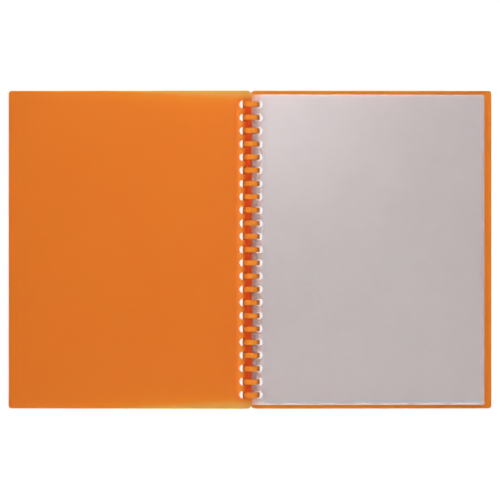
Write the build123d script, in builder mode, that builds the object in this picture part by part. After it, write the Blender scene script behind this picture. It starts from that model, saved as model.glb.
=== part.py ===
from build123d import *
import os
from math import asin, atan2, cos, degrees, hypot, radians, sin, sqrt

# Clear pocket display book, lying open: the front cover on the left, a block of empty clear
# pockets on the back cover to the right, and a plastic comb through their punched margins.
# Millimetres. +Z is up, +Y is towards the pockets' open tops, and the origin is on the table
# under the comb's centre line, at the middle of its length.
os.makedirs("parts", exist_ok=True)

# Covers
front_cover_width = 237.1
back_cover_width = 234.9
cover_height = 310.0
cover_thickness = 0.7
cover_fore_corner = 3.0
cover_binding_corner = 4.2
cover_hole_diameter = 7.2
cover_hole_inset = 8.0

# Pockets
pocket_count = 10
leaf_width = 226.9
leaf_height = 302.0
leaf_corner = 1.5
leaf_hole_diameter = 7.0
leaf_hole_inset = 7.15
film_thickness = 0.06
pocket_gap = 0.12
binding_margin = 11.7
weld_width = 0.8
weld_corner_gap = 0.1
fore_flange = 2.8
bottom_flange = 3.3

# Comb
comb_outer_radius = 8.35
comb_thickness = 1.0
spine_length = 296.0
spine_start_angle = 195.0
spine_end_angle = 279.0
rest_land_width = 2.4
hole_pitch = 12.85
hole_end_margin = 9.0
curl_start_angle = -62.0
curl_end_angle = -80.0
finger_tip_angle = -112.0
tuck_clearance = 0.3

# Clearances
finger_side_clearance = 1.0
leaf_spacing = 0.08
back_cover_clearance = 0.2
front_cover_clearance = 0.3
front_cover_offset = 0.5
leaf_pull = -0.2
back_cover_pull = -0.13
front_cover_pull = 0.0

# Sizes that follow from those above
comb_inner_radius = comb_outer_radius - comb_thickness
comb_mid_radius = comb_outer_radius - comb_thickness / 2
comb_axis_height = sqrt(comb_outer_radius**2 - (rest_land_width / 2) ** 2)
tuck_outer_radius = comb_inner_radius - tuck_clearance
tuck_inner_radius = tuck_outer_radius - comb_thickness
hole_run = min(cover_height, leaf_height) - 2 * hole_end_margin
hole_count = int(hole_run / hole_pitch) + 1
finger_width = min(cover_hole_diameter, leaf_hole_diameter) - 2 * finger_side_clearance
leaf_depth = 2 * film_thickness + pocket_gap
leaf_step = leaf_depth + leaf_spacing

# Heights of the sheets, measured square to them from the comb's centre line
stack_top = front_cover_offset - front_cover_clearance
stack_bottom = stack_top - pocket_count * leaf_step + leaf_spacing
back_cover_bottom = stack_bottom - back_cover_clearance - cover_thickness
front_cover_bottom = -front_cover_offset - cover_thickness

# Distances of the sheets' binding edges from the comb's centre line
leaf_edge = comb_mid_radius + leaf_pull - leaf_hole_inset
back_cover_edge = comb_mid_radius + back_cover_pull - cover_hole_inset
front_cover_edge = comb_mid_radius + front_cover_pull - cover_hole_inset


# The slope of a sheet that hangs on the comb and touches the table with its fore edge
def rest_tilt(fore_edge, bottom):
    reach = hypot(fore_edge, bottom)
    return degrees(asin(comb_axis_height / reach) - atan2(-bottom, fore_edge))


# A point of the comb's section, by its distance and direction from the comb's centre line
def comb_point(radius, angle):
    return (radius * cos(radians(angle)), radius * sin(radians(angle)))


# The way a finger runs at that direction, on its course over the top and down
def comb_heading(angle):
    return (sin(radians(angle)), -cos(radians(angle)))


# The holes of a sheet's binding margin, cut from the sketch that is being drawn
def punch_margin(binding_edge, inset, diameter):
    with Locations((binding_edge + inset, 0)):
        with GridLocations(hole_pitch, hole_pitch, 1, hole_count):
            Circle(diameter / 2, mode=Mode.SUBTRACT)


left_tilt = rest_tilt(front_cover_edge + front_cover_width, front_cover_bottom)
right_tilt = rest_tilt(back_cover_edge + back_cover_width, back_cover_bottom)

# Planes through the comb's centre line: x runs out along the sheets, z stands square to them
comb_axis_point = (0, 0, comb_axis_height)
left_plane = Plane(comb_axis_point, x_dir=(-1, 0, 0), z_dir=(0, 0, 1)).rotated((0, -left_tilt, 0))
right_plane = Plane(comb_axis_point, x_dir=(1, 0, 0), z_dir=(0, 0, 1)).rotated((0, right_tilt, 0))
section_plane = Plane(comb_axis_point, x_dir=(1, 0, 0), z_dir=(0, -1, 0))

# Front cover
with BuildPart() as front_cover:
    with BuildSketch(left_plane.offset(front_cover_bottom)) as front_cover_outline:
        with Locations((front_cover_edge, 0)):
            Rectangle(front_cover_width, cover_height, align=(Align.MIN, Align.CENTER))
        fillet(front_cover_outline.vertices().group_by(Axis.X)[-1], cover_fore_corner)
        fillet(front_cover_outline.vertices().group_by(Axis.X)[0], cover_binding_corner)
        punch_margin(front_cover_edge, cover_hole_inset, cover_hole_diameter)
    extrude(amount=cover_thickness)
front_cover.part.label = "front_cover"
export_step(front_cover.part, "parts/front_cover.step")

# Back cover
with BuildPart() as back_cover:
    with BuildSketch(right_plane.offset(back_cover_bottom)) as back_cover_outline:
        with Locations((back_cover_edge, 0)):
            Rectangle(back_cover_width, cover_height, align=(Align.MIN, Align.CENTER))
        fillet(back_cover_outline.vertices().group_by(Axis.X)[-1], cover_fore_corner)
        fillet(back_cover_outline.vertices().group_by(Axis.X)[0], cover_binding_corner)
        punch_margin(back_cover_edge, cover_hole_inset, cover_hole_diameter)
    extrude(amount=cover_thickness)
back_cover.part.label = "back_cover"
export_step(back_cover.part, "parts/back_cover.step")

# Comb: a spine under the front cover's margin, and fingers that run over the top and tuck inside it
finger_places = [hole_pitch * (index - (hole_count - 1) / 2) for index in range(hole_count)]
finger_sweep = curl_start_angle - spine_start_angle
tuck_sweep = finger_tip_angle - curl_end_angle
spine_sweep = spine_end_angle - spine_start_angle
with BuildPart() as binding_comb:
    with BuildSketch(section_plane):
        with BuildLine():
            spine_outside = CenterArc((0, 0), comb_outer_radius, spine_start_angle, spine_sweep)
            spine_inside = CenterArc((0, 0), comb_inner_radius, spine_start_angle, spine_sweep)
            Line(spine_outside @ 0, spine_inside @ 0)
            Line(spine_outside @ 1, spine_inside @ 1)
        make_face()
        # The flat land that the comb rests on
        with Locations((0, -comb_axis_height)):
            Rectangle(
                2 * comb_outer_radius,
                comb_thickness,
                align=(Align.CENTER, Align.MAX),
                mode=Mode.SUBTRACT,
            )
    extrude(amount=spine_length / 2, both=True)
    with BuildSketch(*[section_plane.offset(place) for place in finger_places]):
        with BuildLine():
            finger_outside = CenterArc((0, 0), comb_outer_radius, spine_start_angle, finger_sweep)
            curl_outside = Spline(
                finger_outside @ 1,
                comb_point(tuck_outer_radius, curl_end_angle),
                tangents=(comb_heading(curl_start_angle), comb_heading(curl_end_angle)),
            )
            tuck_outside = CenterArc((0, 0), tuck_outer_radius, curl_end_angle, tuck_sweep)
            finger_inside = CenterArc((0, 0), comb_inner_radius, spine_start_angle, finger_sweep)
            curl_inside = Spline(
                finger_inside @ 1,
                comb_point(tuck_inner_radius, curl_end_angle),
                tangents=(comb_heading(curl_start_angle), comb_heading(curl_end_angle)),
            )
            tuck_inside = CenterArc((0, 0), tuck_inner_radius, curl_end_angle, tuck_sweep)
            Line(finger_outside @ 0, finger_inside @ 0)
            Line(tuck_outside @ 1, tuck_inside @ 1)
        make_face()
    extrude(amount=finger_width / 2, both=True)
binding_comb.part.label = "binding_comb"
export_step(binding_comb.part, "parts/binding_comb.step")

# Pockets, counted from the top one down
pocket_edge = leaf_edge + binding_margin
leaf_fore_edge = leaf_edge + leaf_width
weld_fore_edge = leaf_fore_edge - fore_flange
weld_low = bottom_flange - leaf_height / 2
side_weld_length = leaf_height - bottom_flange - weld_width - weld_corner_gap
for index in range(pocket_count):
    pocket_name = f"pocket_{index + 1:02d}"
    back_film_bottom = stack_top - index * leaf_step - leaf_depth
    weld_bottom = back_film_bottom + film_thickness
    front_film_bottom = weld_bottom + pocket_gap

    # Back film: the whole leaf with its punched margin
    with BuildPart() as back_film:
        with BuildSketch(right_plane.offset(back_film_bottom)) as leaf_outline:
            with Locations((leaf_edge, 0)):
                Rectangle(leaf_width, leaf_height, align=(Align.MIN, Align.CENTER))
            fillet(leaf_outline.vertices(), leaf_corner)
            punch_margin(leaf_edge, leaf_hole_inset, leaf_hole_diameter)
        extrude(amount=film_thickness)
    back_film.part.label = f"{pocket_name}_back_film"
    export_step(back_film.part, f"parts/{pocket_name}_back_film.step")

    # Weld: a bar along the bottom and one up each side, which leave the pocket open at the top
    with BuildPart() as weld:
        with BuildSketch(right_plane.offset(weld_bottom)):
            with Locations((pocket_edge, weld_low)):
                Rectangle(weld_fore_edge - pocket_edge, weld_width, align=(Align.MIN, Align.MIN))
            with Locations((pocket_edge, leaf_height / 2)):
                Rectangle(weld_width, side_weld_length, align=(Align.MIN, Align.MAX))
            with Locations((weld_fore_edge, leaf_height / 2)):
                Rectangle(weld_width, side_weld_length, align=(Align.MAX, Align.MAX))
        extrude(amount=pocket_gap)
    weld.part.label = f"{pocket_name}_weld"
    export_step(weld.part, f"parts/{pocket_name}_weld.step")

    # Front film: from the weld beside the margin to the fore edge
    with BuildPart() as front_film:
        with BuildSketch(right_plane.offset(front_film_bottom)) as front_film_outline:
            with Locations((pocket_edge, 0)):
                Rectangle(
                    leaf_fore_edge - pocket_edge,
                    leaf_height,
                    align=(Align.MIN, Align.CENTER),
                )
            fillet(front_film_outline.vertices().group_by(Axis.X)[-1], leaf_corner)
        extrude(amount=film_thickness)
    front_film.part.label = f"{pocket_name}_front_film"
    export_step(front_film.part, f"parts/{pocket_name}_front_film.step")

# What the record needs
print("comb axis height", comb_axis_height)
print("left tilt", left_tilt, "right tilt", right_tilt)
print("full turn", 180 + left_tilt + right_tilt)
print("stack bottom", stack_bottom, "back cover bottom", back_cover_bottom)
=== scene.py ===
from math import asin, atan2, cos, hypot, pi, radians, sin, sqrt

import bmesh
import bpy
from mathutils import Matrix, Vector


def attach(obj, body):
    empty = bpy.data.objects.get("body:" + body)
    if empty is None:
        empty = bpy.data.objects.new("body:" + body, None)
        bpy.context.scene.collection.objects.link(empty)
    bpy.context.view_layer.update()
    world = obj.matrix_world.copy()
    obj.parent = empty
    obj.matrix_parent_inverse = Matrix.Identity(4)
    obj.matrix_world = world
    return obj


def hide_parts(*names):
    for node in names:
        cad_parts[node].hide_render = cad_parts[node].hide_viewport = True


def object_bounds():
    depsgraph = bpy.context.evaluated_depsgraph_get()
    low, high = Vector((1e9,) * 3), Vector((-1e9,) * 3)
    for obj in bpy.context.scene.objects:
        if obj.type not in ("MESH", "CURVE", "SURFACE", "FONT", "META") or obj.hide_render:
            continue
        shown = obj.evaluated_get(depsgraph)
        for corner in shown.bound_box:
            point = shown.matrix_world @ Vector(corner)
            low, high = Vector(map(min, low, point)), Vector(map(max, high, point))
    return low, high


# Clear pocket display book, lying open on a white table and seen from straight above.
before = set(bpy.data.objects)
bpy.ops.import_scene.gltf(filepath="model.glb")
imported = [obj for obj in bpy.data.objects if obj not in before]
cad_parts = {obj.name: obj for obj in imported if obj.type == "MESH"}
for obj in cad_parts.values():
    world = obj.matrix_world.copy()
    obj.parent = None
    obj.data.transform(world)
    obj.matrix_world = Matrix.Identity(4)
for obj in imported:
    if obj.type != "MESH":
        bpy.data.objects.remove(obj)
cad_low, cad_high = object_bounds()

# Sizes of the covers, in metres
MM = 0.001
front_cover_width = 237.1 * MM
back_cover_width = 234.9 * MM
cover_height = 310.0 * MM
cover_thickness = 0.7 * MM
cover_fore_corner = 3.0 * MM
cover_binding_corner = 4.2 * MM
cover_hole_diameter = 7.2 * MM
cover_hole_inset = 8.0 * MM
cover_edge_round = 0.3 * MM

# Sizes of the pockets
pocket_count = 10
leaf_width = 226.9 * MM
leaf_height = 302.0 * MM
leaf_corner = 1.5 * MM
leaf_hole_diameter = 7.0 * MM
leaf_hole_inset = 7.15 * MM
film_thickness = 0.06 * MM
pocket_gap = 0.12 * MM
binding_margin = 11.7 * MM
weld_width = 0.8 * MM
fore_flange = 2.8 * MM
bottom_flange = 3.3 * MM

# The films' bottom lip: how far it is pressed down, and its ripples as height, length and start
lip_rows = 4
lip_columns = 60
lip_press = 0.5
lip_ripples = ((0.2, 5.3 * MM, 0.0), (0.15, 2.9 * MM, 1.3))

# Sizes of the comb
comb_outer_radius = 8.35 * MM
comb_thickness = 1.0 * MM
spine_length = 296.0 * MM
spine_start_angle = radians(195.0)
spine_end_angle = radians(279.0)
rest_land_width = 2.4 * MM
finger_count = 23
finger_pitch = 12.85 * MM
finger_width = 5.0 * MM
finger_root_round = 1.6 * MM
finger_tip_round = 2.2 * MM
curl_start_angle = radians(-62.0)
curl_end_angle = radians(-80.0)
finger_tip_angle = radians(-112.0)
tuck_clearance = 0.3 * MM
comb_edge_round = 0.28 * MM

# Clearances between the sheets, and how far each is pulled along the comb's fingers
leaf_spacing = 0.08 * MM
back_cover_clearance = 0.2 * MM
front_cover_clearance = 0.3 * MM
front_cover_offset = 0.5 * MM
leaf_pull = -0.2 * MM
back_cover_pull = -0.13 * MM
front_cover_pull = 0.0 * MM

# Sizes that follow from those above
comb_mid_radius = comb_outer_radius - comb_thickness / 2
comb_axis_height = sqrt(comb_outer_radius**2 - (rest_land_width / 2) ** 2)
tuck_outer_radius = comb_outer_radius - comb_thickness - tuck_clearance
leaf_depth = 2 * film_thickness + pocket_gap
leaf_step = leaf_depth + leaf_spacing
stack_top = front_cover_offset - front_cover_clearance
stack_bottom = stack_top - pocket_count * leaf_step + leaf_spacing
back_cover_bottom = stack_bottom - back_cover_clearance - cover_thickness
back_cover_top = back_cover_bottom + cover_thickness
front_cover_bottom = -front_cover_offset - cover_thickness
leaf_edge = comb_mid_radius + leaf_pull - leaf_hole_inset
leaf_fore_edge = leaf_edge + leaf_width
back_cover_edge = comb_mid_radius + back_cover_pull - cover_hole_inset
front_cover_edge = comb_mid_radius + front_cover_pull - cover_hole_inset

# How finely the meshes are cut
corner_steps = 6
hole_steps = 32
sheet_rim_steps = 2
comb_rim_steps = 3
spine_steps = 14
root_steps = 5
root_bunching = 1.6
finger_steps = 46
tip_steps = 6
tip_stop = 0.999
smooth_angle = radians(35)
sheet_rim_angle = radians(60)
comb_rim_angle = radians(55)
same_place = 0.001 * MM
same_line = 0.01 * MM


# The slope of a sheet that hangs on the comb and touches the table with its fore edge
def rest_tilt(fore_edge, bottom):
    reach = hypot(fore_edge, bottom)
    return asin(comb_axis_height / reach) - atan2(-bottom, fore_edge)


# Where a sheet lies: its x runs out from the comb along the sheet, its z stands square to it
def sheet_place(turn, tilt):
    lift = Matrix.Translation((0, 0, comb_axis_height))
    return lift @ Matrix.Rotation(turn, 4, "Z") @ Matrix.Rotation(tilt, 4, "Y")


left_place = sheet_place(pi, rest_tilt(front_cover_edge + front_cover_width, front_cover_bottom))
right_place = sheet_place(0, rest_tilt(back_cover_edge + back_cover_width, back_cover_bottom))


# Nodes of a material or of the world, made by kind, with their sockets set by name
class Shader:
    def __init__(self, owner, output="OutputMaterial"):
        owner.use_nodes = True
        self.owner = owner
        self.tree = owner.node_tree
        self.tree.nodes.clear()
        self.output = self.node(output)

    def node(self, kind, settings=(), **sockets):
        made = self.tree.nodes.new("ShaderNode" + kind)
        for key, value in dict(settings).items():
            setattr(made, key, value)
        for key, value in sockets.items():
            self.put(made.inputs[key.replace("_", " ")], value)
        return made

    def put(self, socket, value):
        if isinstance(value, bpy.types.NodeSocket):
            self.tree.links.new(value, socket)
        else:
            socket.default_value = value

    # The place on the piece that is being coloured
    def place(self):
        return self.node("TexCoord").outputs["Object"]

    # A sum of one or two values
    def sum(self, operation, *values, clamp=False):
        made = self.node("Math", settings={"operation": operation, "use_clamp": clamp})
        for socket, value in zip(made.inputs, values):
            self.put(socket, value)
        return made.outputs["Value"]

    # The length of a place, or its distance from another
    def measure(self, operation, *places):
        made = self.node("VectorMath", settings={"operation": operation})
        for socket, place in zip(made.inputs, places):
            self.put(socket, place)
        return made.outputs["Value"]

    # A value that goes from one level to another while a measure runs from its start to its end
    def fade(self, measure, start, end, before, after, soft=False):
        made = self.node(
            "MapRange",
            settings={"interpolation_type": "SMOOTHSTEP" if soft else "LINEAR"},
            Value=measure,
            From_Min=start,
            From_Max=end,
            To_Min=before,
            To_Max=after,
        )
        return made.outputs["Result"]

    # A colour that wanders between two tones with a pattern
    def tones(self, pattern, stops):
        made = self.node("ValToRGB", Fac=pattern)
        for element, (position, tone) in zip(made.color_ramp.elements, stops):
            element.position = position
            element.color = tone
        return made.outputs["Color"]

    # One colour that goes over into another by a share
    def tint(self, share, first, second):
        made = self.node("Mix", settings={"data_type": "RGBA"}, Factor=share, A=first, B=second)
        return made.outputs["Result"]

    # One surface that goes over into another by a share
    def layer(self, share, first, second):
        made = self.node("MixShader", Fac=share)
        self.put(made.inputs[1], first)
        self.put(made.inputs[2], second)
        return made.outputs["Shader"]

    # White light of a strength
    def light(self, strength):
        return self.node("Emission", Color=white, Strength=strength).outputs["Emission"]

    def finish(self, surface):
        self.put(self.output.inputs["Surface"], surface)
        return self.owner


white = (1.0, 1.0, 1.0, 1.0)
plastic_ior = 1.49

# Colours of the covers
sheet_tones = ((0.3, (0.957, 0.237, 0.031, 1.0)), (0.7, (0.967, 0.254, 0.034, 1.0)))
# Painted light in a wedge on the front cover's ends
painted_light_band_orange = (0.84, 0.5, 0.16, 1.0)
# Painted shade on the back cover's ends past the pockets
painted_shade_rim_orange = (0.84, 0.235, 0.05, 1.0)
# Painted shade on the back cover's margin beside the comb
back_margin_shade_orange = (0.62, 0.14, 0.016, 1.0)
# Painted shade: deep red for the front cover's margin under the comb's fingers
painted_shade_red = (0.88, 0.08, 0.005, 1.0)
# Painted light beside the comb and on the back cover's fore rim
painted_light_orange = (1.0, 0.295, 0.03, 1.0)
light_through_sheet = (0.99, 0.9, 0.1, 1.0)
sheet_clearness = 0.45
margin_clearness = 0.1
sheet_polish = (0.4, 0.5)
sheet_grain_depth = 0.04 * MM

# Where the covers' colours change, as the start and end of each change out from the book's middle
gutter_line = 0.2 * MM
margin_fade = (10.0 * MM, 20.0 * MM)
painted_light_by_comb_fade = (4.5 * MM, 8.5 * MM)
comb_end_fade = (141.0 * MM, 150.0 * MM)
painted_light_fore_rim_fade = (222.0 * MM, 228.0 * MM)
painted_light_fore_rim_share = 0.6
end_rim_fade = (150.5 * MM, 151.5 * MM)
back_margin_shade_fade = (8.0 * MM, 15.0 * MM)
back_margin_shade_share = 0.8
# The wedge of painted light on the front cover's ends
painted_light_band_width = 11.5 * MM
painted_light_band_reach = 145.0 * MM
painted_light_band_curve = 1.2


# Translucent orange polypropylene sheet with a fine matte grain
def orange_sheet_material():
    shader = Shader(bpy.data.materials.new("orange_sheet"))
    place = shader.place()
    grain = shader.node("TexNoise", Vector=place, Scale=2600.0, Detail=2.0, Roughness=0.6)
    cloud = shader.node("TexNoise", Vector=place, Scale=14.0, Detail=3.0, Roughness=0.55).outputs["Fac"]
    parts = shader.node("SeparateXYZ", Vector=place)
    across = parts.outputs["X"]
    from_gutter = shader.sum("ABSOLUTE", across)
    from_middle = shader.sum("ABSOLUTE", parts.outputs["Y"])
    on_front = shader.sum("LESS_THAN", across, gutter_line)
    on_back = shader.sum("SUBTRACT", 1.0, on_front)
    along_comb = shader.fade(from_middle, *comb_end_fade, 1.0, 0.0, soft=True)
    color = shader.tones(cloud, sheet_tones)

    # Painted light: the front cover's ends are paler near the gutter, in a wedge, where light gets in
    # under the raised cover
    half_height = cover_height / 2
    band_width = shader.fade(from_gutter, 0.0, painted_light_band_reach, painted_light_band_width, 0.0)
    band_start = shader.sum("SUBTRACT", half_height, band_width)
    painted_light_band = shader.fade(from_middle, band_start, half_height, 0.0, 1.0)
    painted_light_band = shader.sum("POWER", painted_light_band, painted_light_band_curve)
    color = shader.tint(shader.sum("MULTIPLY", painted_light_band, on_front), color, painted_light_band_orange)

    # Painted shade: the back cover's ends are duller past the pockets, and its margin is darker beside
    # the comb
    past_leaf = shader.fade(from_middle, *end_rim_fade, 0.0, 1.0)
    color = shader.tint(shader.sum("MULTIPLY", on_back, past_leaf), color, painted_shade_rim_orange)
    # Painted shade on the back cover's margin beside the comb, along the comb's length
    back_margin_shade = shader.fade(across, *back_margin_shade_fade, back_margin_shade_share, 0.0, soft=True)
    back_margin_shade = shader.sum("MULTIPLY", back_margin_shade, along_comb)
    color = shader.tint(shader.sum("MULTIPLY", back_margin_shade, on_back), color, back_margin_shade_orange)

    # Painted shade: the front cover's punched margin is a deep red strip at the comb. Painted light makes
    # it paler beside that strip and on the back cover's fore rim.
    margin = shader.fade(from_gutter, *margin_fade, 1.0, 0.0, soft=True)
    punched = shader.sum("MULTIPLY", shader.sum("MULTIPLY", margin, on_front), along_comb)
    color = shader.tint(punched, color, painted_shade_red)
    # Painted light beside the red strip
    beside = shader.fade(from_gutter, *painted_light_by_comb_fade, 0.0, 1.0, soft=True)
    painted_light_by_comb = shader.sum("MULTIPLY", punched, beside)
    # Painted light on the back cover's fore rim
    painted_light_fore_rim = shader.fade(across, *painted_light_fore_rim_fade, 0.0, painted_light_fore_rim_share)
    color = shader.tint(shader.sum("MAXIMUM", painted_light_by_comb, painted_light_fore_rim), color, painted_light_orange)

    relief = shader.node("Bump", Strength=0.18, Distance=sheet_grain_depth, Height=grain.outputs["Fac"])
    body = shader.node(
        "BsdfPrincipled",
        Base_Color=color,
        Roughness=shader.fade(cloud, 0.0, 1.0, *sheet_polish),
        Normal=relief.outputs["Normal"],
        IOR=plastic_ior,
        Specular_IOR_Level=0.2,
    )
    glow = shader.node("BsdfTranslucent", Color=light_through_sheet)
    # The punched margin lets less light through, which deepens the painted shade there
    clearness = shader.fade(punched, 0.0, 1.0, sheet_clearness, margin_clearness)
    return shader.finish(shader.layer(clearness, body.outputs["BSDF"], glow.outputs["BSDF"]))


# Colours of the comb, with painted shade that deepens down its sides
comb_tones = ((0.3, (0.92, 0.275, 0.026, 1.0)), (0.75, (0.96, 0.3, 0.032, 1.0)))
comb_side_shade_orange = (0.6, 0.15, 0.014, 1.0)
comb_side_shade_fade = (4.5 * MM, comb_outer_radius)
comb_side_shade_shift = 0.7 * MM
comb_streaks = (600.0, 60.0, 600.0)
comb_streak_depth = 0.05 * MM
comb_polish = (0.32, 0.42)
light_through_comb = (0.95, 0.5, 0.1, 1.0)
comb_clearness = 0.1


# Smooth orange polypropylene of the moulded comb
def orange_comb_material():
    shader = Shader(bpy.data.materials.new("orange_comb"))
    place = shader.place()
    streak_place = shader.node("Mapping", Vector=place, Scale=comb_streaks).outputs["Vector"]
    streak = shader.node("TexNoise", Vector=streak_place, Scale=1.0, Detail=2.0).outputs["Fac"]
    across = shader.node("SeparateXYZ", Vector=place).outputs["X"]
    from_middle = shader.sum("ABSOLUTE", shader.sum("ADD", across, comb_side_shade_shift))
    # Painted shade down the comb's steep sides
    side = shader.fade(from_middle, *comb_side_shade_fade, 0.0, 1.0, soft=True)
    relief = shader.node("Bump", Strength=0.1, Distance=comb_streak_depth, Height=streak)
    body = shader.node(
        "BsdfPrincipled",
        Base_Color=shader.tint(side, shader.tones(streak, comb_tones), comb_side_shade_orange),
        Roughness=shader.fade(streak, 0.0, 1.0, *comb_polish),
        Normal=relief.outputs["Normal"],
        IOR=plastic_ior,
        Specular_IOR_Level=0.1,
    )
    glow = shader.node("BsdfTranslucent", Color=light_through_comb)
    return shader.finish(shader.layer(comb_clearness, body.outputs["BSDF"], glow.outputs["BSDF"]))


# Where the films show less: in the binding margin their haze and gloss are turned down as painted shade
# under the comb, and at the fore flange they are turned down too
film_margin_shade_fade = (1.0 * MM, 14.0 * MM)
film_margin_shade_share = 0.2
film_flange_fade = (leaf_fore_edge - 1.3 * fore_flange, leaf_fore_edge - fore_flange)
film_flange_share = 0.65
film_mottle = (0.85, 1.15)
film_slant_power = 5.0
film_mirror_color = (1.0, 0.945, 0.955, 1.0)


# Clear glossy film. Each face mirrors a little of the room, so a pile of films turns silvery.
def clear_film_material(name, mirror_share, haze, haze_color, gloss_roughness):
    shader = Shader(bpy.data.materials.new(name))
    place = shader.place()
    across = shader.node("SeparateXYZ", Vector=place).outputs["X"]
    # Painted shade: less haze and gloss in the binding margin, under the comb
    film_margin_shade = shader.fade(across, *film_margin_shade_fade, film_margin_shade_share, 1.0, soft=True)
    flange = shader.fade(across, *film_flange_fade, 1.0, film_flange_share)
    margin_shade_and_flange = shader.sum("MULTIPLY", film_margin_shade, flange)

    # A faint cloudy haze
    cloud = shader.node("TexNoise", Vector=place, Scale=22.0, Detail=0.0).outputs["Fac"]
    mottle = shader.fade(cloud, 0.0, 1.0, film_mottle[0] * haze, film_mottle[1] * haze)
    veil = shader.sum("MULTIPLY", mottle, margin_shade_and_flange)
    clear = shader.node("BsdfTransparent", Color=white)
    milk = shader.node("BsdfDiffuse", Color=haze_color)
    sheet = shader.layer(veil, clear.outputs["BSDF"], milk.outputs["BSDF"])

    # A gloss that grows towards a slanting look
    facing_share = shader.sum("MULTIPLY", margin_shade_and_flange, mirror_share)
    slant = shader.node("LayerWeight", Blend=0.5).outputs["Facing"]
    steep = shader.sum("POWER", slant, film_slant_power)
    share = shader.fade(steep, 0.0, 1.0, facing_share, 1.0)
    mirror = shader.node("BsdfGlossy", Color=film_mirror_color, Roughness=gloss_roughness)
    return shader.finish(shader.layer(share, sheet, mirror.outputs["BSDF"]))


orange_sheet = orange_sheet_material()
orange_comb = orange_comb_material()
clear_film = clear_film_material(
    "clear_film", mirror_share=0.02, haze=0.0, haze_color=(1.0, 0.95, 0.96, 1.0), gloss_roughness=0.2
)
matt_film = clear_film_material(
    "matt_film", mirror_share=0.02, haze=0.058, haze_color=(1.0, 0.94, 0.95, 1.0), gloss_roughness=0.2
)
film_weld = clear_film_material(
    "film_weld", mirror_share=0.02, haze=0.05, haze_color=(0.95, 0.92, 0.92, 1.0), gloss_roughness=0.2
)
film_lip = clear_film_material(
    "film_lip", mirror_share=0.12, haze=0.02, haze_color=(0.95, 0.92, 0.92, 1.0), gloss_roughness=0.14
)
leaf_materials = [clear_film, film_weld, matt_film, film_lip]


# A finished mesh as an object of the scene, smooth where its faces meet gently
def add_piece(name, bm, materials, body, nodes):
    bmesh.ops.remove_doubles(bm, verts=bm.verts[:], dist=same_place)
    mesh = bpy.data.meshes.new(name)
    bm.to_mesh(mesh)
    bm.free()
    for polygon in mesh.polygons:
        polygon.use_smooth = True
    mesh.set_sharp_from_angle(angle=smooth_angle)
    for material in materials:
        mesh.materials.append(material)
    piece = bpy.data.objects.new(name, mesh)
    bpy.context.scene.collection.objects.link(piece)
    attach(piece, body)
    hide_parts(*nodes)


# Everything in a bmesh, as the cutting operators take it
def all_of(bm):
    return bm.verts[:] + bm.edges[:] + bm.faces[:]


# Items in their order, each of them once
def each_once(items):
    return list(dict.fromkeys(items))


# How far along the comb a finger or a hole lies
def finger_place(index):
    return (index - (finger_count - 1) / 2) * finger_pitch


# A flat rectangle at height zero, as one face
def flat_face(bm, near, far, low, high):
    middle = Matrix.Translation(((near + far) / 2, (low + high) / 2, 0))
    stretch = Matrix.Diagonal(((far - near) / 2, (high - low) / 2, 1, 1))
    bmesh.ops.create_grid(bm, x_segments=1, y_segments=1, size=1, matrix=middle @ stretch)


# A flat sheet with round corners, as one face at height zero
def plain_sheet(bm, near, far, height, near_corner, far_corner):
    flat_face(bm, near, far, -height / 2, height / 2)
    for corner, along in ((near_corner, near), (far_corner, far)):
        if corner:
            ends = [vert for vert in bm.verts if abs(vert.co.x - along) < same_line]
            bmesh.ops.bevel(
                bm,
                geom=ends,
                offset=corner,
                segments=corner_steps,
                profile=0.5,
                affect="VERTICES",
                material=-1,
            )


# Punches a row of holes into a flat sheet, in a margin that ends at a line along the sheet
def punch_margin(bm, hole_at, hole_diameter):
    margin_end = hole_at + hole_diameter
    bmesh.ops.bisect_plane(bm, geom=all_of(bm), plane_co=(margin_end, 0, 0), plane_no=(1, 0, 0))
    margin = [face for face in bm.faces if face.calc_center_median().x < margin_end]
    rim = [edge for face in margin for edge in face.edges]
    bmesh.ops.delete(bm, geom=margin, context="FACES_ONLY")
    for index in range(finger_count):
        place = Matrix.Translation((hole_at, finger_place(index), 0))
        ring = bmesh.ops.create_circle(bm, segments=hole_steps, radius=hole_diameter / 2, matrix=place)
        rim += [edge for vert in ring["verts"] for edge in vert.link_edges]
    bmesh.ops.triangle_fill(bm, use_beauty=True, edges=each_once(rim))


# Rounds the edges where faces meet at more than an angle
def round_rims(bm, least_angle, offset, steps):
    rims = [edge for edge in bm.edges if edge.calc_face_angle(0.0) > least_angle]
    bmesh.ops.bevel(
        bm, geom=rims, offset=offset, segments=steps, profile=0.5, affect="EDGES", material=-1
    )


# Gives flat faces their thickness upwards
def thicken(bm, thickness):
    bmesh.ops.recalc_face_normals(bm, faces=bm.faces[:])
    if bm.faces[0].normal.z > 0:
        bmesh.ops.reverse_faces(bm, faces=bm.faces[:])
    bmesh.ops.solidify(bm, geom=bm.faces[:], thickness=thickness)
    bmesh.ops.recalc_face_normals(bm, faces=bm.faces[:])


# A cover: one stiff sheet, punched along its binding edge
def add_cover(name, place, binding_edge, width, bottom):
    bm = bmesh.new()
    fore_edge = binding_edge + width
    plain_sheet(bm, binding_edge, fore_edge, cover_height, cover_binding_corner, cover_fore_corner)
    punch_margin(bm, binding_edge + cover_hole_inset, cover_hole_diameter)
    thicken(bm, cover_thickness)
    round_rims(bm, sheet_rim_angle, cover_edge_round, sheet_rim_steps)
    bmesh.ops.transform(bm, matrix=place @ Matrix.Translation((0, 0, bottom)), verts=bm.verts[:])
    add_piece(name, bm, [orange_sheet], name, [name])


# The comb's outer radius along a finger, which dips inside the spine at the tip
def finger_radius(angle):
    share = (curl_start_angle - angle) / (curl_start_angle - curl_end_angle)
    share = min(max(share, 0.0), 1.0)
    ease = share * share * (3 - 2 * share)
    return comb_outer_radius + (tuck_outer_radius - comb_outer_radius) * ease


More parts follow.
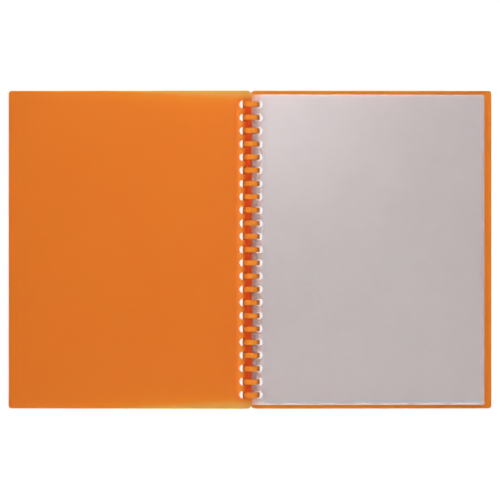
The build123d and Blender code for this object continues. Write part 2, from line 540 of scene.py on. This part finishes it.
# Half a finger's width at a distance from its root and from its tip
def finger_half_width(from_root, from_tip):
    half = finger_width / 2
    if from_root < finger_root_round:
        rest = finger_root_round - from_root
        half += finger_root_round - sqrt(finger_root_round**2 - rest**2)
    if from_tip < finger_tip_round:
        rest = finger_tip_round - from_tip
        half -= finger_tip_round - sqrt(finger_tip_round**2 - rest**2)
    return half


# The comb's section as a row of directions: the spine, the fingers' roots, their length and their tips
def comb_directions():
    root_turn = finger_root_round / comb_outer_radius
    tip_turn = finger_tip_round / tuck_outer_radius
    root_end = spine_start_angle - root_turn
    tip_start = finger_tip_angle + tip_turn
    turns = []
    for index in range(spine_steps):
        turns.append(spine_end_angle + (spine_start_angle - spine_end_angle) * index / spine_steps)
    for index in range(root_steps):
        turns.append(spine_start_angle - root_turn * (index / root_steps) ** root_bunching)
    for index in range(finger_steps):
        turns.append(root_end + (tip_start - root_end) * index / finger_steps)
    for index in range(tip_steps + 1):
        turns.append(tip_start - tip_turn * sin(pi / 2 * index / tip_steps) * tip_stop)
    return turns


# The comb is cut flat as a spine with fingers, then rolled up
def add_comb():
    turns = comb_directions()

    # Lines along the comb: each finger has five, and the gaps between fingers have none of their own
    finger_lines = (-1.0, -0.5, 0.0, 0.5, 1.0)
    lines = [(None, -spine_length / 2)]
    for index in range(finger_count):
        lines += [(side, finger_place(index)) for side in finger_lines]
    lines.append((None, spine_length / 2))

    bm = bmesh.new()
    bmesh.ops.create_grid(bm, x_segments=len(lines) - 1, y_segments=len(turns) - 1, size=1)
    column_of = {}
    row_of = {}
    for vert in bm.verts:
        column_of[vert] = round((vert.co.x + 1) / 2 * (len(lines) - 1))
        row_of[vert] = round((vert.co.y + 1) / 2 * (len(turns) - 1))
    gaps = []
    for face in bm.faces:
        row = min(row_of[vert] for vert in face.verts)
        column = min(column_of[vert] for vert in face.verts)
        on_finger = column % len(finger_lines) != 0
        if row >= spine_steps and not on_finger:
            gaps.append(face)
    for vert in bm.verts:
        side, along = lines[column_of[vert]]
        angle = turns[row_of[vert]]
        if side is not None:
            from_root = max(spine_start_angle - angle, 0.0) * comb_outer_radius
            from_tip = (angle - finger_tip_angle) * tuck_outer_radius
            along += side * finger_half_width(from_root, from_tip)
        radius = finger_radius(angle)
        vert.co = (radius * cos(angle), along, comb_axis_height + radius * sin(angle))
    bmesh.ops.delete(bm, geom=gaps, context="FACES")

    # The rolled sheet faces outwards and gets its thickness inwards
    bmesh.ops.recalc_face_normals(bm, faces=bm.faces[:])
    first = bm.faces[0]
    middle = first.calc_center_median()
    outwards = middle - Vector((0, middle.y, comb_axis_height))
    if first.normal.dot(outwards) < 0:
        bmesh.ops.reverse_faces(bm, faces=bm.faces[:])
    bmesh.ops.solidify(bm, geom=bm.faces[:], thickness=comb_thickness)
    bmesh.ops.recalc_face_normals(bm, faces=bm.faces[:])
    round_rims(bm, comb_rim_angle, comb_edge_round, comb_rim_steps)

    # The land that the comb rests on is flat
    for vert in bm.verts:
        vert.co.z = max(vert.co.z, 0.0)
    add_piece("binding_comb", bm, [orange_comb], "comb", ["binding_comb"])


# The weld that joins a pocket's two films along both sides and the bottom, as flat faces
def weld_strip(bm):
    high = leaf_height / 2
    low = -high + bottom_flange
    spare = 2 * weld_width
    flat_face(bm, leaf_edge + binding_margin, leaf_fore_edge - fore_flange, low, high + spare)
    inner = bm.faces[:]
    bmesh.ops.inset_region(bm, faces=inner, thickness=weld_width, use_boundary=True, use_even_offset=True)
    bmesh.ops.delete(bm, geom=inner, context="FACES")
    bmesh.ops.bisect_plane(
        bm, geom=all_of(bm), plane_co=(0, high, 0), plane_no=(0, 1, 0), clear_outer=True
    )


# Puts one bmesh into another, raised by a height
def merge_layer(whole, layer, height):
    bmesh.ops.translate(layer, verts=layer.verts[:], vec=(0, 0, height))
    carrier = bpy.data.meshes.new("layer")
    layer.to_mesh(carrier)
    layer.free()
    whole.from_mesh(carrier)
    bpy.data.meshes.remove(carrier)


# How far the films' bottom edges are pressed together at a place along them, in gentle ripples
def lip_ripple(along):
    return 1.0 + sum(height * sin(along / length + start) for height, length, start in lip_ripples)


# Cuts the faces of a flat film that lie below a line along a plane
def cut_film(film, place, direction, line):
    faces = [face for face in film.faces if face.calc_center_median().y < line]
    edges = each_once(edge for face in faces for edge in face.edges)
    verts = each_once(vert for face in faces for vert in face.verts)
    bmesh.ops.bisect_plane(
        film, geom=verts + edges + faces, plane_co=place, plane_no=direction, dist=same_place
    )


# Bends a flat film's bottom edge down into the room that is free under it
def bend_lip(film, room_below, film_material):
    line = bottom_flange - leaf_height / 2
    for row in range(-1, lip_rows):
        cut_film(film, (0, line - bottom_flange * row / lip_rows, 0), (0, 1, 0), leaf_height)
    for column in range(1, lip_columns):
        cut_film(film, (leaf_edge + leaf_width * column / lip_columns, 0, 0), (1, 0, 0), line)
    for vert in film.verts:
        share = max(line - vert.co.y, 0.0) / bottom_flange
        vert.co.z -= room_below * lip_press * lip_ripple(vert.co.x) * share**2
    for face in film.faces:
        on_lip = face.calc_center_median().y < line
        face.material_index = leaf_materials.index(film_lip if on_lip else film_material)


# One clear pocket: a punched back film, the weld and a front film
def add_pocket(index):
    name = f"pocket_{index + 1:02d}"
    bottom = stack_top - index * leaf_step - leaf_depth
    films_below = 2 * (pocket_count - 1 - index)
    room_below = bottom - back_cover_top - films_below * film_thickness
    whole = bmesh.new()

    back_film = bmesh.new()
    plain_sheet(back_film, leaf_edge, leaf_fore_edge, leaf_height, leaf_corner, leaf_corner)
    punch_margin(back_film, leaf_edge + leaf_hole_inset, leaf_hole_diameter)
    bend_lip(back_film, room_below, matt_film)
    thicken(back_film, film_thickness)
    merge_layer(whole, back_film, bottom)

    weld = bmesh.new()
    weld_strip(weld)
    thicken(weld, pocket_gap)
    for face in weld.faces:
        face.material_index = leaf_materials.index(film_weld)
    merge_layer(whole, weld, bottom + film_thickness)

    front_film = bmesh.new()
    plain_sheet(front_film, leaf_edge + binding_margin, leaf_fore_edge, leaf_height, 0.0, leaf_corner)
    bend_lip(front_film, room_below + pocket_gap, clear_film)
    thicken(front_film, film_thickness)
    merge_layer(whole, front_film, bottom + film_thickness + pocket_gap)

    bmesh.ops.transform(whole, matrix=right_place, verts=whole.verts[:])
    nodes = [f"{name}_back_film", f"{name}_weld", f"{name}_front_film"]
    add_piece(f"{name}_leaf", whole, leaf_materials, name, nodes)


add_cover("front_cover", left_place, front_cover_edge, front_cover_width, front_cover_bottom)
add_cover("back_cover", right_place, back_cover_edge, back_cover_width, back_cover_bottom)
add_comb()
for pocket_index in range(pocket_count):
    add_pocket(pocket_index)

# The set: a white table, a pale card overhead and a long lamp at each end of the book
table_size = 8.0
table_gap = 0.1 * MM
table_white = (0.85, 0.85, 0.85, 1.0)
table_glow_seen = 0.5
table_glow_mirrored = 0.25
table_frost = 0.66
table_fade = (0.35, 1.0)
card_size = 0.9
card_height = 0.7
card_side = 0.06
card_glow = 0.8
# Brighter patches of the card, as middle, radius and strength
card_patches = (
    ((0.0, 0.05, card_height), 0.4, 0.14),
    ((0.05, 0.2, card_height), 0.22, 0.9),
)
lamp_width = 1.2
lamp_depth = 0.3
lamp_reach = 0.95
lamp_height = 0.55
lamp_end_share = 0.3
lamp_mirrored = 1.3
lamp_sides = (("top_lamp", 1, 10.6), ("bottom_lamp", -1, 8.0))
room_horizon = 0.12
room_zenith = 0.4
room_underneath = 0.8
room_mirrored = 0.65
room_seen = 1.0
room_floor_line = -0.01


# A flat square of the set, which isn't part of the book
def add_stage_plane(name, place, width, height, material):
    bm = bmesh.new()
    stretch = Matrix.Diagonal((width / 2, height / 2, 1, 1))
    bmesh.ops.create_grid(bm, x_segments=1, y_segments=1, size=1, matrix=place @ stretch)
    mesh = bpy.data.meshes.new(name)
    bm.to_mesh(mesh)
    bm.free()
    material.cycles.emission_sampling = "NONE"
    mesh.materials.append(material)
    plane = bpy.data.objects.new(name, mesh)
    bpy.context.scene.collection.objects.link(plane)
    return plane


# A white frosted table. To the eye it lets the white surroundings through, so the background is white
# and a cover that is folded below the table still shows.
def white_table_material():
    shader = Shader(bpy.data.materials.new("white_table"))
    path = shader.node("LightPath").outputs
    through = shader.sum("SUBTRACT", path["Is Transmission Ray"], path["Is Diffuse Ray"], clamp=True)
    mirrored = shader.sum("MAXIMUM", path["Is Glossy Ray"], through)
    reflected = shader.sum("MULTIPLY", mirrored, table_glow_mirrored)
    seen = shader.sum("MULTIPLY", path["Is Camera Ray"], table_glow_seen)
    paper = shader.node("BsdfDiffuse", Color=table_white)
    lit = shader.node("AddShader")
    shader.put(lit.inputs[0], shader.light(shader.sum("ADD", seen, reflected)))
    shader.put(lit.inputs[1], paper.outputs["BSDF"])
    from_book = shader.measure("LENGTH", shader.place())
    far_off = shader.fade(from_book, *table_fade, table_frost, 1.0, soft=True)
    frost = shader.sum("MULTIPLY", path["Is Camera Ray"], far_off)
    clear = shader.node("BsdfTransparent")
    return shader.finish(shader.layer(frost, lit.outputs["Shader"], clear.outputs["BSDF"]))


# Adds a soft round patch of light to a strength, around a middle
def add_patch(shader, strength, middle, radius, amount):
    distance = shader.measure("DISTANCE", shader.place(), middle)
    return shader.sum("ADD", strength, shader.fade(distance, 0.0, radius, amount, 0.0, soft=True))


# The face of the light card: as pale as the room overhead, with brighter patches
def light_card_material():
    shader = Shader(bpy.data.materials.new("light_card"))
    strength = card_glow
    for middle, radius, amount in card_patches:
        strength = add_patch(shader, strength, middle, radius, amount)
    return shader.finish(shader.light(strength))


# The face of a lamp, brightest at its middle
def lamp_material(name, middle, strength):
    shader = Shader(bpy.data.materials.new(name))
    faint = strength * lamp_end_share
    bright = add_patch(shader, faint, middle, lamp_width / 2, strength - faint)
    in_mirror = shader.node("LightPath").outputs["Is Glossy Ray"]
    return shader.finish(shader.light(shader.fade(in_mirror, 0.0, 1.0, bright, lamp_mirrored)))


# White surroundings to the eye. To everything else, a soft room, paler overhead than at its sides.
def add_room():
    world = bpy.data.worlds.new("room")
    shader = Shader(world, "OutputWorld")
    direction = shader.node("TexCoord").outputs["Generated"]
    upwards = shader.node("SeparateXYZ", Vector=direction).outputs["Z"]
    above = shader.fade(upwards, 0.0, 1.0, room_horizon, room_zenith)
    is_below = shader.sum("LESS_THAN", upwards, room_floor_line)
    lit = shader.fade(is_below, 0.0, 1.0, above, room_underneath)
    path = shader.node("LightPath").outputs
    mirrored = shader.fade(path["Is Glossy Ray"], 0.0, 1.0, lit, room_mirrored)
    seen = shader.fade(path["Is Camera Ray"], 0.0, 1.0, mirrored, room_seen)
    sky = shader.node("Background", Color=white, Strength=seen)
    shader.finish(sky.outputs["Background"])
    world.cycles.sampling_method = "NONE"
    bpy.context.scene.world = world


add_room()
table_place = Matrix.Translation((0, 0, -table_gap))
add_stage_plane("table", table_place, table_size, table_size, white_table_material())
card_place = Matrix.Translation((card_side, 0, card_height))
card = add_stage_plane("light_card", card_place, card_size, card_size, light_card_material())
card.visible_camera = False
for lamp_name, lamp_side, lamp_strength in lamp_sides:
    lamp_turn = Matrix.Rotation(-lamp_side * atan2(lamp_reach, lamp_height), 4, "X")
    lamp_middle = (0, lamp_side * lamp_reach, lamp_height)
    lamp_face = lamp_material(lamp_name, lamp_middle, lamp_strength)
    lamp_place = Matrix.Translation(lamp_middle) @ lamp_turn
    lamp = add_stage_plane(lamp_name, lamp_place, lamp_width, lamp_depth, lamp_face)
    lamp.visible_camera = False

# The camera looks straight down at the middle of the book
frame_pixels = 500
object_pixels = 482.8
camera_distance = 2.5
camera_along = -0.35 * MM
view_width = (cad_high.x - cad_low.x) * frame_pixels / object_pixels
camera_data = bpy.data.cameras.new("camera")
camera_data.sensor_width = 36.0
camera_data.lens = camera_data.sensor_width * camera_distance / view_width
camera = bpy.data.objects.new("camera", camera_data)
camera.location = ((cad_low.x + cad_high.x) / 2, camera_along, camera_distance)
bpy.context.scene.collection.objects.link(camera)

scene = bpy.context.scene
scene.camera = camera
scene.view_settings.view_transform = "Standard"
# The pile of films has forty faces one behind another
scene.cycles.transparent_max_bounces = 96
scene.cycles.diffuse_bounces = 8
